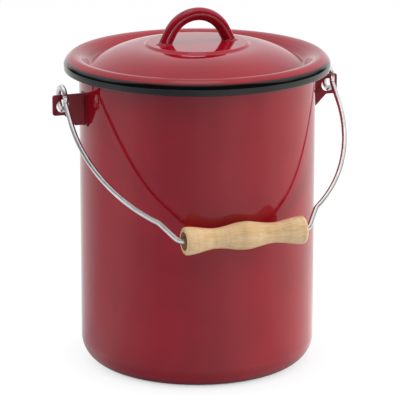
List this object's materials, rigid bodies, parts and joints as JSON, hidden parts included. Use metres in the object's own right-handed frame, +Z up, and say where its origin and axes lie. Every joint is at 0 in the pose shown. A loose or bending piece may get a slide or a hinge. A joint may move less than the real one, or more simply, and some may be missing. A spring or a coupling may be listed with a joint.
{
  "type": "enamel lidded pail",
  "caption": "Tall round enamelled steel pail with an overlapping domed lid, a loop handle on the lid, and a swinging wire bail with a turned wooden grip.",
  "frame": {"origin": "centre of the pail's flat base, on the surface that it stands on", "axes": "+Z up along the pail's axis; X runs through the two ears; the bail rests leaning forwards, towards -Y"},
  "size_m": [0.282, 0.26, 0.3374],
  "materials": {
    "red_enamel": "glossy vitreous enamel, deep red",
    "black_enamel": "glossy vitreous enamel, black",
    "zinc_wire": "bright zinc-plated steel wire",
    "pale_wood": "plain turned beech, unvarnished"
  },
  "bodies": {
    "pail": {"pail_body": "red_enamel", "pail_rolled_rim": "black_enamel", "ear_left": "red_enamel", "ear_right": "red_enamel"},
    "lid": {"lid_pan": "red_enamel", "lid_rolled_edge": "black_enamel", "lid_handle": "red_enamel"},
    "bail": {"bail_wire": "zinc_wire"},
    "grip": {"wooden_grip": "pale_wood"}
  },
  "joints": [
    {"name": "lid_lift", "type": "slide", "parent": "pail", "child": "lid", "axis": [0, 0, 1], "range_m": [0, 0.12]},
    {"name": "bail_swing", "type": "hinge", "parent": "pail", "child": "bail", "pos_m": [0, 0, 0.26169], "axis": [-1, 0, 0], "range_deg": [0, 263.5]},
    {"name": "grip_turn", "type": "hinge", "parent": "bail", "child": "grip", "pos_m": [0, -0.12325, 0.1508], "axis": [1, 0, 0], "continuous": true}
  ]
}
